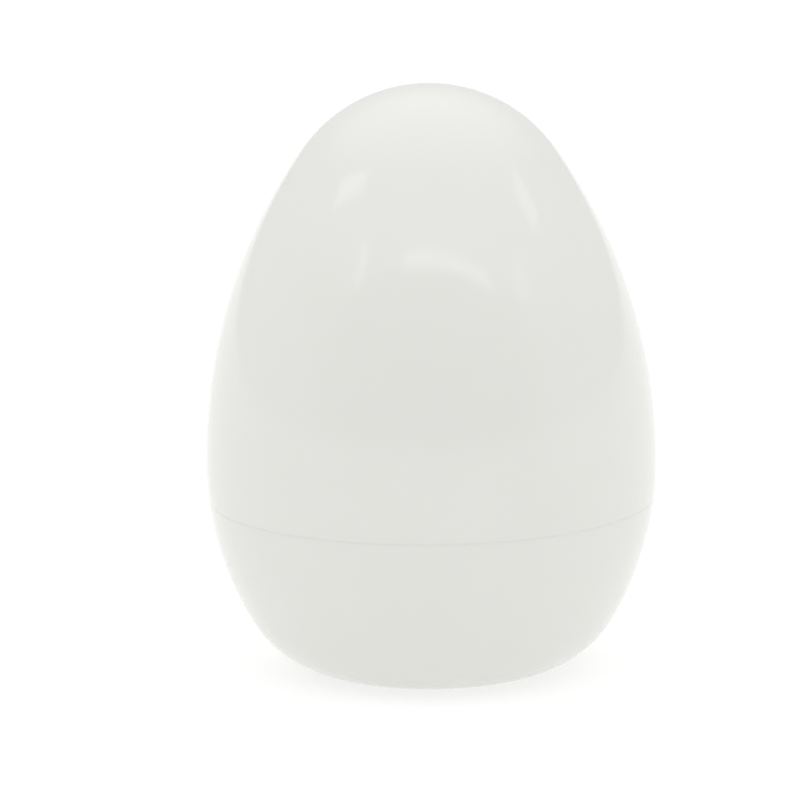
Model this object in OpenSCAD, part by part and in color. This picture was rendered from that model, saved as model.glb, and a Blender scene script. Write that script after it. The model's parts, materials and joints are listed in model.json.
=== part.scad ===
// Egg-shaped wind-up kitchen timer: a plain shell in two halves around a clockwork movement with a bell.
// Millimetres, +Z up. The origin is the middle of the flat foot, and the plain side faces -Y.

/* [Egg body] */
// Height of the whole egg
egg_height = 65; // [55:0.5:78]
// Largest diameter of the egg
egg_diameter = 49.4; // [46:0.2:60]
// Height of the widest level above the table
widest_height = 23.4; // [21:0.1:26]
// Radius of the rounded top
cap_radius = 17.1; // [12:0.1:20]
// Radius of the side curve below the widest level
belly_radius = 34.5; // [31:0.1:38]
// Radius of the flat foot
foot_radius = 9.6; // [8.8:0.1:11]
// Thickness of the shell walls
wall = 1.8; // [1.4:0.1:2.2]

/* [Parting line] */
// Height of the parting line between base and dial
seam_height = 19.2; // [17.5:0.1:21]
// Gap seen between base and dial
seam_gap = 0.15; // [0.1:0.05:0.4]
// Height of the inner lip above the parting line
lip_height = 2.2; // [1.5:0.1:3]
// Thickness of the inner lip
lip_wall = 1; // [0.8:0.1:1.4]
// Clearance between the lip and the dial wall
lip_clearance = 0.35; // [0.3:0.05:0.6]

/* [Dial hub] */
// Outer radius of the hub that hangs inside the dial
hub_radius = 3.4; // [3:0.1:4.5]
// Clearance between the centre bush and the hub
hub_clearance = 1.2; // [0.8:0.1:2]
// Depth of the D-shaped socket in the hub
socket_depth = 8; // [6:0.5:9]
// Clearance of the D-shaped socket around the shaft
socket_clearance = 0.03; // [0.01:0.01:0.05]
// Number of ribs that join the hub to the dial
rib_count = 4; // [3:1:6]
// Thickness of a rib
rib_thickness = 1.2; // [0.8:0.1:1.6]

/* [Scale] */
// Longest time on the scale in minutes
scale_minutes = 30; // [20:5:30]
// Turn of the dial for one minute in degrees
minute_angle = 5; // [4:0.5:5]
// Azimuth of the pointer mark on the base in degrees
pointer_angle = 15; // [10:1:20]
// Length of a minute mark
short_mark = 1.8; // [1:0.1:2.5]
// Length of a five-minute mark
long_mark = 3.2; // [2.6:0.1:4]
// Width of a mark
mark_width = 0.5; // [0.3:0.05:0.8]
// Thickness of the printed marks
mark_thickness = 0.05; // [0.04:0.01:0.1]

/* [Base] */
// Number of screws under the foot
screw_count = 3; // [3:1:4]
// Radius of the circle of the screws
screw_circle = 6; // [5.6:0.1:6.2]
// Shank radius of the base screws
screw_shank = 1; // [0.8:0.05:1.2]
// Head radius of the base screws
screw_head = 1.9; // [1.6:0.05:2]
// Head height of the base screws
screw_head_height = 1.4; // [1.1:0.1:1.6]
// Depth of the screw heads below the foot
screw_recess = 0.8; // [0.4:0.1:1.2]
// Outer radius of the screw bosses
boss_radius = 2.9; // [2.7:0.1:3]
// Number of sound slots in the curve above the foot, on the side of the scale
slot_count = 7; // [3:1:9]
// Angle between the first and the last sound slot
slot_spread = 150; // [90:5:180]
// Width of a sound slot
slot_width = 1.2; // [0.8:0.1:1.6]
// Inner radius of the ring of sound slots
slot_inner = 11.4; // [11:0.1:12]
// Outer radius of the ring of sound slots
slot_outer = 15; // [14:0.1:16]

/* [Movement plates] */
// Height of the lower plate above the table
plate_height = 9; // [8.6:0.1:9.4]
// Thickness of both plates
plate_thickness = 0.8; // [0.6:0.05:1]
// Space between the two plates
plate_space = 13.2; // [13:0.1:14]
// Room between the plates' rim and the widest inner wall
plate_margin = 4.4; // [4.2:0.1:5]
// Radius of a plate pillar
pillar_radius = 1.2; // [1:0.05:1.4]
// Radius of the pillar tenon in the lower plate
tenon_radius = 0.8; // [0.6:0.05:0.9]
// Shank radius of the pillar screws
pillar_shank = 0.6; // [0.5:0.05:0.7]
// Radius of the pillar screw heads
pillar_head = 1.3; // [1:0.05:1.4]

/* [Shafts] */
// Radius of the main shaft
main_shaft = 1.5; // [1.3:0.05:1.8]
// Radius of the small shafts
shaft_radius = 0.5; // [0.45:0.05:0.6]
// Radius of the thin pivots at their ends
pivot_radius = 0.3; // [0.25:0.05:0.35]
// Running clearance of every turning shaft
running = 0.05; // [0.03:0.01:0.08]
// Clearance of the pieces that are fixed on a shaft
fixed_gap = 0.01; // [0.01:0.005:0.02]
// End play between a shaft's shoulder and a plate
end_play = 0.15; // [0.1:0.05:0.25]

/* [Gear train] */
// Tooth module of the main wheel and its pinion
main_module = 0.33; // [0.3:0.01:0.34]
// Tooth module of the second wheel and its pinion
second_module = 0.25; // [0.23:0.01:0.26]
// Tooth module of the third wheel and its pinion
third_module = 0.25; // [0.23:0.01:0.26]
// Height of a tooth above its pitch circle, in modules
addendum = 0.75; // [0.7:0.01:0.8]
// Play between meshing teeth
backlash = 0.08; // [0.06:0.01:0.12]
// Thickness of a toothed wheel
wheel_thickness = 0.6; // [0.5:0.05:0.7]
// Thickness of a pinion
pinion_thickness = 1; // [0.9:0.05:1.1]
// Tip radius of the escape wheel
escape_tip = 4; // [3.6:0.1:4.2]
// Root radius of the escape wheel
escape_root = 3.1; // [2.9:0.1:3.2]
// Radius of the two pallet pins
pallet_pin = 0.15; // [0.12:0.01:0.18]
// Gap between a pallet pin and the escape teeth at mid swing
pallet_gap = 0.08; // [0.06:0.01:0.12]

/* [Mainspring] */
// Number of turns of the mainspring
spring_turns = 6; // [4:1:8]
// Thickness of the spring strip
spring_strip = 0.3; // [0.2:0.05:0.4]
// Width of the spring strip
spring_width = 4; // [3:0.2:4]
// Gap between the shaft's collar and the innermost turn
spring_room = 0.4; // [0.3:0.05:0.8]
// Radius of the outermost turn
spring_outer = 9.6; // [8.5:0.1:9.8]

/* [Bell and hammer] */
// Radius of the bell
bell_radius = 17; // [15:0.1:17.4]
// Thickness of the bell
bell_wall = 0.6; // [0.5:0.05:0.8]
// Height of the bell's rim above the upper plate
bell_lift = 1.4; // [1.2:0.1:1.8]
// Height of the bell
bell_height = 7.8; // [7.4:0.1:8]
// Height of the bell's straight rim
bell_skirt = 2.8; // [2:0.1:3]
// Radius of the hammer head
hammer_radius = 1.1; // [0.8:0.05:1.2]
// Gap between the resting hammer and the bell
hammer_gap = 0.15; // [0.1:0.05:0.3]
// Width of the hammer tail
tail_width = 0.5; // [0.4:0.05:0.6]
// Tip radius of the star wheel
star_tip = 3; // [2.6:0.1:3.1]
// Root radius of the star wheel
star_root = 1.9; // [1.6:0.1:2]
// Gap between the resting tail and the star's teeth
tail_gap = 0.1; // [0.08:0.01:0.2]

/* [Stop lever] */
// Smallest radius of the snail cam
cam_low = 5.4; // [5:0.1:5.6]
// Rise of the snail cam over the whole scale
cam_rise = 1.1; // [0.8:0.1:1.2]
// Radius of the lever's nose
nose_radius = 0.5; // [0.4:0.05:0.6]
// Gap between the nose and the cam
nose_gap = 0.08; // [0.06:0.01:0.12]

/* [Hidden] */
$fn = 96;

// Egg outline: four arcs that run into each other, from the top to the foot
egg_radius = egg_diameter / 2;
cap_z = egg_height - cap_radius;
cap_rise = cap_z - widest_height;
side_radius = (egg_radius ^ 2 + cap_rise ^ 2 - cap_radius ^ 2) / (2 * (egg_radius - cap_radius));
side_x = egg_radius - side_radius;
belly_x = egg_radius - belly_radius;
belly_reach = foot_radius - belly_x;
corner_radius = (belly_radius ^ 2 - belly_reach ^ 2 - widest_height ^ 2)
              / (2 * (belly_radius - widest_height));
side_angle = atan2(cap_rise, -side_x);
belly_angle = atan2(widest_height - corner_radius, belly_reach);
far = 4 * egg_height;

// Degrees by which a small arc's slice runs on under its neighbour, so that the slices join
tuck = 5;

// Outer radius of the egg at a height between the foot's corner and the top's rounding
function outer_at(z) = z < widest_height
  ? belly_x + sqrt(belly_radius ^ 2 - (widest_height - z) ^ 2)
  : side_x + sqrt(side_radius ^ 2 - (z - widest_height) ^ 2);

// Seam and lip
dial_bottom = seam_height + seam_gap / 2;
base_top = seam_height - seam_gap / 2;
lip_top = seam_height + lip_height;
lip_outer = outer_at(dial_bottom) - wall - lip_clearance;
lip_inner = lip_outer - lip_wall;
lip_bottom = seam_height - 3;
scale_bottom = dial_bottom + 1;

// Levels of the movement, from the foot up
lower_top = plate_height + plate_thickness;
upper_bottom = lower_top + plate_space;
upper_top = upper_bottom + plate_thickness;
spring_z = lower_top + 0.5;
ratchet_z = lower_top + 4.8;
main_z = lower_top + 5.6;
second_z = lower_top + 7.6;
ring_z = lower_top + 8.5;
third_z = lower_top + 9.4;
star_z = lower_top + 10.2;
cam_z = lower_top + 11.2;
escape_z = lower_top + 11.2;
anchor_z = lower_top + 12.1;
bar_z = lower_top + 7.4;
bell_z = upper_top + bell_lift;
bell_top = bell_z + bell_height;
washer_thickness = 0.4;
nut_thickness = 1.6;
bush_top = bell_top + washer_thickness + nut_thickness + 0.2;
hub_bottom = bush_top + hub_clearance;
clip_thickness = 0.4;
cam_thickness = 0.8;

// Plan of the movement: it fills the plate, so every plan size follows the plate's radius
plate_radius = egg_radius - wall - plate_margin;
plan_plate = 18.5;
plan = plate_radius / plan_plate;
main_teeth = 60;
main_leaves = 10;
second_teeth = 48;
leaves = 9;
third_teeth = 45;
ring_teeth = 56;
star_leaves = 14;
escape_teeth = 15;
star_teeth = 6;
pressure = 25;
shift = 0.3;
second_direction = 60;
third_direction = 160;
escape_direction = 205;
pallet_direction = 232;
star_direction = 330;
pallet_half_angle = 42;
pin_circle = escape_tip * plan + pallet_pin + pallet_gap;
pallet_arm = pin_circle * tan(pallet_half_angle);
second_place = main_module * plan * (main_teeth + main_leaves) / 2
             * [cos(second_direction), sin(second_direction)];
third_place = second_place + second_module * plan * (second_teeth + leaves) / 2
            * [cos(third_direction), sin(third_direction)];
escape_place = third_place + third_module * plan * (third_teeth + leaves) / 2
             * [cos(escape_direction), sin(escape_direction)];
pallet_place = escape_place + pin_circle / cos(pallet_half_angle)
             * [cos(pallet_direction), sin(pallet_direction)];
star_place = main_module * plan * (ring_teeth + star_leaves) / 2
           * [cos(star_direction), sin(star_direction)];

// Hammer: its tail meets the star's tip circle square on, and its head stands inside the bell
hammer_direction = 355;
hammer_place = 13.5 * plan * [cos(hammer_direction), sin(hammer_direction)];
star_span = norm(star_place - hammer_place);
tail_touch = star_tip * plan + tail_gap + tail_width / 2;
tail_length = sqrt(star_span ^ 2 - tail_touch ^ 2);
tail_angle = atan2(star_place[1] - hammer_place[1], star_place[0] - hammer_place[0])
           + asin(tail_touch / star_span);
star_gap_angle = tail_angle + 90;
head_length = 6 * plan;
head_circle = bell_radius * plan - bell_wall - hammer_radius - hammer_gap;
head_turn = acos((hammer_place * hammer_place + head_length ^ 2 - head_circle ^ 2)
          / (2 * norm(hammer_place) * head_length));
head_angle = hammer_direction + 180 + head_turn;
head_place = hammer_place + head_length * [cos(head_angle), sin(head_angle)];
arm_z = bell_z + 0.6;

// Stop lever: its nose rides on the snail cam
lever_direction = 240;
lever_place = 12.5 * plan * [cos(lever_direction), sin(lever_direction)];
nose_direction = 290;
nose_circle = cam_low * plan + nose_gap + nose_radius;
nose_place = nose_circle * [cos(nose_direction), sin(nose_direction)];
lever_z = lower_top + 11.1;

// Pillars and base screws
pillar_angles = [20, 170, 270];
pillar_circle = 16.3 * plan;
screw_first = 30;
spring_post_angle = 315;
spring_post_radius = 0.6;
ratchet_tip = 3.4;

// Pieces on the main shaft
hub_flat = 0.6 * main_shaft;
collar_radius = main_shaft + 0.5;
spring_inner = collar_radius + spring_room;
bush_radius = main_shaft + running + 1.1;
small_hub = shaft_radius + 0.5;

// Outline of the egg set in by a distance, right of the axis
module egg_outline(inset) {
  intersection() {
    translate([0, -far]) square([far, 2 * far]);
    union() {
      arc_wedge([0, cap_z], cap_radius - inset, side_angle - tuck, 90);
      arc_wedge([side_x, widest_height], side_radius - inset, 0, side_angle);
      arc_wedge([belly_x, widest_height], belly_radius - inset, -belly_angle, 0);
      arc_wedge([foot_radius, corner_radius], corner_radius - inset, -90, tuck - belly_angle);
      translate([0, inset]) square([foot_radius, widest_height - inset]);
    }
  }
}

// Slice of a disc between two angles
module arc_wedge(centre, radius, from, to) {
  intersection() {
    translate(centre) circle(r = radius, $fn = 180);
    polygon([
      centre,
      centre + far * [cos(from), sin(from)],
      centre + far * [cos(to), sin(to)]
    ]);
  }
}

module shell_outline(low, high) {
  intersection() {
    difference() {
      egg_outline(0);
      egg_outline(wall);
    }
    translate([0, low]) square([far, high - low]);
  }
}

// Toothed wheels
function involute(angle) = tan(angle) * 180 / PI - angle;
function base_radius(size, teeth) = size * teeth / 2 * cos(pressure);
function half_tooth(size, teeth, move) = 90 / teeth
  + (2 * move * tan(pressure) / teeth - backlash / (2 * size * teeth)) * 180 / PI;
function flank(size, teeth, move, radius) = half_tooth(size, teeth, move) + involute(pressure)
  - involute(acos(min(1, base_radius(size, teeth) / radius)));
function tooth_point(radius, angle) = [radius * cos(angle), radius * sin(angle)];
function tooth(size, teeth, move, radii, middle) = concat(
  [for (r = radii) tooth_point(r, middle - flank(size, teeth, move, max(r, radii[1])))],
  [for (i = [len(radii) - 1 : -1 : 0])
    tooth_point(radii[i], middle + flank(size, teeth, move, max(radii[i], radii[1])))]
);

module gear_outline(size, teeth, move) {
  root = size * (teeth / 2 - 1.25 + move);
  tip = size * (teeth / 2 + addendum + move);
  start = max(root + 0.01, base_radius(size, teeth));
  middle_radius = (start + tip) / 2;
  radii = [root, start, middle_radius, tip];
  polygon([for (i = [0 : teeth - 1]) each tooth(size, teeth, move, radii, 360 * i / teeth)]);
}

module wheel(place, z, size, teeth, turn, bore) {
  pitch = size * teeth / 2;
  translate([place[0], place[1], z]) linear_extrude(wheel_thickness) difference() {
    rotate(turn) gear_outline(size, teeth, -shift);
    circle(r = bore);
    for (i = [0 : 3]) rotate(90 * i + 45) translate([pitch * 0.56, 0]) circle(r = pitch * 0.22);
  }
}

module pinion(place, z, size, teeth, turn) {
  translate([place[0], place[1], z]) linear_extrude(pinion_thickness) difference() {
    rotate(turn) gear_outline(size, teeth, shift);
    circle(r = shaft_radius + fixed_gap);
  }
}

// Shaft that runs between the plates on two pivots
module small_shaft(place) {
  low = lower_top + end_play;
  high = upper_bottom - end_play;
  translate([place[0], place[1], 0]) {
    translate([0, 0, low]) cylinder(r = shaft_radius, h = high - low);
    translate([0, 0, plate_height + 0.1])
      cylinder(r = pivot_radius, h = upper_top - plate_height - 0.2);
  }
}

module rod(place, z, radius, height) {
  translate([place[0], place[1], z]) cylinder(r = radius, h = height);
}

// Flat bar with round ends between two points
module bar(from, to, width, z, height) {
  span = to - from;
  translate([from[0], from[1], z]) rotate(atan2(span[1], span[0])) linear_extrude(height) union() {
    circle(r = width / 2);
    translate([0, -width / 2]) square([norm(span), width]);
    translate([norm(span), 0]) circle(r = width / 2);
  }
}

function spiral_radius(turned) = spring_inner
  + (spring_outer * plan - spring_inner) * turned / (360 * spring_turns);
function spiral_point(turned, aside) = (spiral_radius(turned) + aside)
  * [cos(spring_post_angle + turned), sin(spring_post_angle + turned)];

module base_shell() color("white") {
  difference() {
    union() {
      rotate_extrude() union() {
        shell_outline(0, base_top);
        translate([lip_inner, lip_bottom]) square([lip_outer - lip_inner, lip_top - lip_bottom]);
      }
      for (i = [0 : screw_count - 1]) rotate(screw_first + 360 * i / screw_count)
        translate([screw_circle, 0, 0]) cylinder(r = boss_radius, h = plate_height);
    }
    for (i = [0 : screw_count - 1]) rotate(screw_first + 360 * i / screw_count)
      translate([screw_circle, 0, 0]) {
        translate([0, 0, -1]) cylinder(r = screw_head + 0.2, h = 1 + screw_recess + screw_head_height);
        cylinder(r = screw_shank + 0.15, h = plate_height + 1);
      }
    for (i = [0 : slot_count - 1]) rotate(90 + slot_spread * (i / (slot_count - 1) - 0.5))
      translate([slot_inner, -slot_width / 2, -1])
        cube([slot_outer - slot_inner, slot_width, plate_height - 1]);
  }
}

module base_screws() color("silver") {
  for (i = [0 : screw_count - 1]) rotate(screw_first + 360 * i / screw_count)
    translate([screw_circle, 0, 0]) difference() {
      union() {
        translate([0, 0, screw_recess]) cylinder(r = screw_head, h = screw_head_height);
        translate([0, 0, screw_recess])
          cylinder(r = screw_shank, h = lower_top - screw_recess);
      }
      for (turn = [0, 90]) rotate(turn)
        translate([-1.1, -0.25, screw_recess - 1]) cube([2.2, 0.5, 1.7]);
    }
}

module pointer_mark() color("dimgray") {
  intersection() {
    rotate_extrude() print_outline(base_top - 2.6, base_top - 0.6);
    rotate(pointer_angle) translate([0, 0, base_top - 0.6]) rotate([90, 0, 90])
      linear_extrude(2 * egg_radius) polygon([[-1, -2], [1, -2], [0, 0]]);
  }
}

// Section of a thin print on the outside of the egg
module print_outline(low, high) {
  intersection() {
    difference() {
      egg_outline(-mark_thickness);
      egg_outline(0);
    }
    translate([0, low]) square([far, high - low]);
  }
}

module minute_marks() color("dimgray") {
  mark_turn = mark_width / outer_at(scale_bottom) * 180 / PI;
  for (i = [0 : scale_minutes]) rotate(pointer_angle + minute_angle * i - mark_turn / 2)
    rotate_extrude(angle = mark_turn)
      print_outline(scale_bottom, scale_bottom + (i % 5 == 0 ? long_mark : short_mark));
}

module plate_outline() {
  difference() {
    circle(r = plate_radius);
    for (place = [second_place, third_place, escape_place, pallet_place, star_place])
      translate(place) circle(r = pivot_radius + running);
    for (angle = pillar_angles) rotate(angle) translate([pillar_circle, 0])
      circle(r = tenon_radius + fixed_gap);
    circle(r = main_shaft + running);
  }
}

module lower_plate() color("goldenrod") {
  translate([0, 0, plate_height]) linear_extrude(plate_thickness) difference() {
    plate_outline();
    translate(hammer_place) circle(r = pivot_radius + running);
    for (i = [0 : screw_count - 1]) rotate(screw_first + 360 * i / screw_count)
      translate([screw_circle, 0]) circle(r = screw_shank + fixed_gap);
  }
}

module upper_plate() color("goldenrod") {
  translate([0, 0, upper_bottom]) linear_extrude(plate_thickness) difference() {
    plate_outline();
    translate(hammer_place) circle(r = shaft_radius + running);
  }
}

module plate_pillars() color("silver") {
  for (angle = pillar_angles) rotate(angle) translate([pillar_circle, 0, 0]) difference() {
    union() {
      translate([0, 0, lower_top]) cylinder(r = pillar_radius, h = plate_space);
      translate([0, 0, plate_height]) cylinder(r = tenon_radius, h = plate_thickness);
    }
    translate([0, 0, upper_bottom - 4]) cylinder(r = pillar_shank + fixed_gap, h = 5);
  }
}

module pillar_screws() color("gray") {
  for (angle = pillar_angles) rotate(angle) translate([pillar_circle, 0, 0]) difference() {
    union() {
      translate([0, 0, upper_bottom - 3.5]) cylinder(r = pillar_shank, h = 3.5 + plate_thickness);
      translate([0, 0, upper_top]) cylinder(r = pillar_head, h = 0.8);
    }
    translate([-2, -0.15, upper_top + 0.45]) cube([4, 0.3, 1]);
  }
}

// Bush in the upper plate that carries the bell and guides the main shaft
module centre_bush() color("peru") {
  translate([0, 0, upper_top]) rotate_extrude() translate([main_shaft + running, 0]) union() {
    square([3, 0.8]);
    square([2, bell_top - bell_wall - upper_top]);
    square([bush_radius - main_shaft - running, bush_top - upper_top]);
  }
}

module bell_outline(inset) {
  flat = 5 * plan;
  rim = bell_radius * plan;
  rise = bell_height - bell_skirt;
  dome_z = bell_top - (rim ^ 2 - flat ^ 2 + rise ^ 2) / (2 * rise);
  dome_radius = norm([flat, bell_top - dome_z]);
  translate([0, bell_z]) square([rim - inset, bell_skirt]);
  intersection() {
    translate([0, dome_z]) circle(r = dome_radius - inset, $fn = 180);
    translate([0, bell_top - rise]) square([rim - inset, rise - inset]);
  }
}

module bell() color("lightgray") {
  rotate_extrude() difference() {
    bell_outline(0);
    bell_outline(bell_wall);
    translate([0, bell_z - 1]) square([bush_radius + fixed_gap, bell_height + 2]);
  }
}

module bell_washer() color("silver") {
  translate([0, 0, bell_top]) difference() {
    cylinder(r = bush_radius + 1.6, h = washer_thickness);
    translate([0, 0, -1]) cylinder(r = bush_radius + fixed_gap, h = 3);
  }
}

module bell_nut() color("silver") {
  translate([0, 0, bell_top + washer_thickness]) difference() {
    cylinder(r = bush_radius + 1.4, h = nut_thickness, $fn = 6);
    translate([0, 0, -1]) cylinder(r = bush_radius + fixed_gap, h = 4);
  }
}

module mainspring() color("slategray") {
  steps = 24 * spring_turns;
  sweep = 360 * spring_turns;
  translate([0, 0, spring_z]) linear_extrude(spring_width) polygon(concat(
    [for (i = [0 : steps]) spiral_point(sweep * i / steps, -spring_strip / 2)],
    [for (i = [steps : -1 : 0]) spiral_point(sweep * i / steps, spring_strip / 2)]
  ));
}

module spring_post() color("silver") {
  rotate(spring_post_angle)
    translate([spring_outer * plan + spring_strip / 2 + spring_post_radius, 0, lower_top])
      cylinder(r = spring_post_radius, h = spring_z + spring_width - lower_top);
}

module lever_post() color("silver") {
  rod(lever_place, lever_z - 0.8, 0.8, upper_bottom - lever_z + 0.8);
}

module lever_clip() color("gray") {
  translate([lever_place[0], lever_place[1], lever_z - 0.7]) difference() {
    cylinder(r = 1.4, h = clip_thickness);
    translate([0, 0, -1]) cylinder(r = 0.8 + fixed_gap, h = 3);
  }
}

// Lever that is lifted by the snail cam as the dial is wound
module stop_lever() color("orange") {
  difference() {
    union() {
      rod(lever_place, lever_z, 1.6, 1);
      bar(lever_place, nose_place, 2 * nose_radius, lever_z, cam_thickness);
    }
    rod(lever_place, lever_z - 1, 0.8 + running, 4);
  }
}

// Snail cam: it rises evenly over the scale and falls back behind it
function cam_radius(turned) = plan * (cam_low + cam_rise * (
  turned < 0 ? 0 :
  turned <= cam_sweep ? turned / (scale_minutes * minute_angle) :
  turned <= cam_sweep + 40 ? cam_sweep / (scale_minutes * minute_angle)
    * (cam_sweep + 40 - turned) / 40 : 0));
cam_sweep = scale_minutes * minute_angle + 20;

module snail_cam() color("gold") {
  translate([0, 0, cam_z]) linear_extrude(cam_thickness) difference() {
    polygon([for (i = [0 : 2 : 358]) cam_radius(i) * [cos(nose_direction + i), sin(nose_direction + i)]]);
    circle(r = main_shaft + fixed_gap);
  }
}

module hammer_spring_post() color("silver") {
  rod(hammer_spring_place(), lower_top, 0.5, star_z - lower_top + 0.2);
}

function hammer_spring_place() = hammer_place
  + 4 * plan * [cos(hammer_direction + 75), sin(hammer_direction + 75)];

module hammer_spring() color("slategray") {
  start = hammer_spring_place();
  bar(start + [0, -0.66], hammer_place + [shaft_radius + 0.4, 0.2], 0.3, star_z - 0.6, 0.4);
}

module dial_shell() color("white") {
  rim_z = hub_bottom + socket_depth;
  difference() {
    union() {
      rotate_extrude() shell_outline(dial_bottom, egg_height);
      intersection() {
        rotate_extrude() egg_outline(wall / 2);
        union() {
          translate([0, 0, hub_bottom]) cylinder(r = hub_radius, h = egg_height);
          for (i = [0 : rib_count - 1]) rotate(360 * i / rib_count)
            translate([0, -rib_thickness / 2, rim_z]) cube([egg_radius, rib_thickness, egg_height]);
        }
      }
    }
    translate([0, 0, hub_bottom - 1]) linear_extrude(socket_depth + 1) intersection() {
      circle(r = main_shaft + socket_clearance);
      translate([-far, -far]) square([far + hub_flat + socket_clearance, 2 * far]);
    }
  }
}

module main_shaft_rod() color("silver") {
  bottom = plate_height - 1;
  top = hub_bottom + socket_depth - 0.4;
  union() {
    translate([0, 0, bottom]) cylinder(r = main_shaft, h = hub_bottom - 0.6 - bottom);
    translate([0, 0, hub_bottom - 0.6]) linear_extrude(top - hub_bottom + 0.6) intersection() {
      circle(r = main_shaft);
      translate([-far, -far]) square([far + hub_flat, 2 * far]);
    }
    translate([0, 0, lower_top + end_play]) cylinder(r = collar_radius, h = spring_width);
  }
}

// Clip that keeps the main shaft down
module shaft_clip() color("gray") {
  translate([0, 0, plate_height - end_play - clip_thickness]) difference() {
    cylinder(r = 2.5, h = clip_thickness);
    translate([0, 0, -1]) cylinder(r = main_shaft + fixed_gap, h = 3);
  }
}

module ratchet_wheel() color("gold") {
  count = 18;
  pitch = 360 / count;
  translate([0, 0, ratchet_z]) linear_extrude(wheel_thickness) difference() {
    polygon([for (i = [0 : count - 1]) each [
      tooth_point(ratchet_tip - 0.6, pitch * i),
      tooth_point(ratchet_tip, pitch * i + 1)
    ]]);
    circle(r = main_shaft + fixed_gap);
  }
}

module main_wheel() color("gold") {
  wheel([0, 0], main_z, main_module * plan, main_teeth, second_direction, main_shaft + fixed_gap);
}

// Pawl under the main wheel that lets the dial be wound without turning the train
module click() color("orange") {
  difference() {
    union() {
      rod([6.6, 0] * plan, ratchet_z, 0.9, wheel_thickness);
      bar([6.6, 0] * plan, [ratchet_tip + 0.2, 2.2 * plan], 0.7, ratchet_z, wheel_thickness);
    }
    rod([6.6, 0] * plan, ratchet_z - 1, 0.4 + fixed_gap, 3);
  }
}

module click_pin() color("silver") {
  rod([6.6, 0] * plan, ratchet_z, 0.4, main_z - ratchet_z);
}

module click_spring() color("slategray") {
  bar([6.4 * plan, 2.2 * plan], [3 * plan, 6.2 * plan], 0.3, ratchet_z, main_z - ratchet_z);
}

module ring_wheel() color("gold") {
  wheel([0, 0], ring_z, main_module * plan, ring_teeth, star_direction, main_shaft + fixed_gap);
}

module second_shaft() color("silver") small_shaft(second_place);
module second_pinion() color("silver")
  pinion(second_place, main_z - 0.2, main_module * plan, main_leaves,
    second_direction + 180 + 180 / main_leaves);
module second_wheel() color("gold")
  wheel(second_place, second_z, second_module * plan, second_teeth, third_direction,
    shaft_radius + fixed_gap);

module third_shaft() color("silver") small_shaft(third_place);
module third_pinion() color("silver")
  pinion(third_place, second_z - 0.2, second_module * plan, leaves,
    third_direction + 180 + 180 / leaves);
module third_wheel() color("gold")
  wheel(third_place, third_z, third_module * plan, third_teeth, escape_direction,
    shaft_radius + fixed_gap);

module escape_shaft() color("silver") small_shaft(escape_place);
module escape_pinion() color("silver")
  pinion(escape_place, third_z - 0.2, third_module * plan, leaves,
    escape_direction + 180 + 180 / leaves);

// Wheel with pointed teeth, turned so that one tooth faces a given way
module pointed_wheel(place, z, count, tip, root, land, foot, turn) {
  pitch = 360 / count;
  translate([place[0], place[1], z]) linear_extrude(wheel_thickness) difference() {
    rotate(turn) polygon([for (i = [0 : count - 1]) each [
      tooth_point(root, pitch * i - foot), tooth_point(tip, pitch * i - land),
      tooth_point(tip, pitch * i + land), tooth_point(root, pitch * i + foot)
    ]]);
    circle(r = shaft_radius + fixed_gap);
  }
}

module escape_wheel() color("gold")
  pointed_wheel(escape_place, escape_z, escape_teeth, escape_tip * plan, escape_root * plan,
    1, 4.5, pallet_direction);

module pallet_shaft() color("silver") small_shaft(pallet_place);

function pin_place(side) = escape_place + pin_circle
  * [cos(pallet_direction + side * pallet_half_angle), sin(pallet_direction + side * pallet_half_angle)];

module pallet_anchor() color("silver") {
  difference() {
    union() {
      rod(pallet_place, anchor_z, small_hub, 0.5);
      for (side = [-1, 1]) bar(pallet_place, pin_place(side), 0.8, anchor_z, 0.5);
    }
    rod(pallet_place, anchor_z - 1, shaft_radius + fixed_gap, 3);
    for (side = [-1, 1]) rod(pin_place(side), anchor_z - 1, pallet_pin + fixed_gap, 3);
  }
}

module pallet_pins() color("gray") {
  for (side = [-1, 1]) rod(pin_place(side), escape_z - 0.1, pallet_pin, anchor_z + 0.6 - escape_z);
}

module balance_bar() color("peru") {
  reach = 2.6 * plan;
  turn = atan2(pallet_place[1], pallet_place[0]) + 90;
  across = reach * [cos(turn), sin(turn)];
  difference() {
    union() {
      bar(pallet_place - across, pallet_place + across, 1, bar_z, 0.8);
      for (side = [-1, 0, 1]) rod(pallet_place + side * across, bar_z, small_hub, 0.8);
    }
    rod(pallet_place, bar_z - 1, shaft_radius + fixed_gap, 3);
  }
}

module star_shaft() color("silver") small_shaft(star_place);
module star_pinion() color("silver")
  pinion(star_place, ring_z - 0.2, main_module * plan, star_leaves,
    star_direction + 180 + 180 / star_leaves);
module star_wheel() color("gold")
  pointed_wheel(star_place, star_z, star_teeth, star_tip * plan, star_root * plan,
    3, 16, star_gap_angle + 180 / star_teeth);

module hammer_shaft() color("silver") {
  low = lower_top + end_play;
  translate([hammer_place[0], hammer_place[1], 0]) {
    translate([0, 0, low]) cylinder(r = shaft_radius, h = arm_z + 0.8 - low);
    translate([0, 0, plate_height + 0.1]) cylinder(r = pivot_radius, h = low - plate_height);
  }
}

module hammer_tail() color("orange") {
  nose = hammer_place + (tail_length - tail_width / 2) * [cos(tail_angle), sin(tail_angle)];
  difference() {
    union() {
      rod(hammer_place, star_z, small_hub, wheel_thickness);
      bar(hammer_place, nose, tail_width, star_z, wheel_thickness);
    }
    rod(hammer_place, star_z - 1, shaft_radius + fixed_gap, 3);
  }
}

module hammer_arm() color("orange") {
  difference() {
    union() {
      rod(hammer_place, arm_z, small_hub, 0.6);
      bar(hammer_place, head_place, 1.1, arm_z, 0.6);
    }
    rod(hammer_place, arm_z - 1, shaft_radius + fixed_gap, 3);
    rod(head_place, arm_z - 1, 0.4 + fixed_gap, 3);
  }
}

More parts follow.
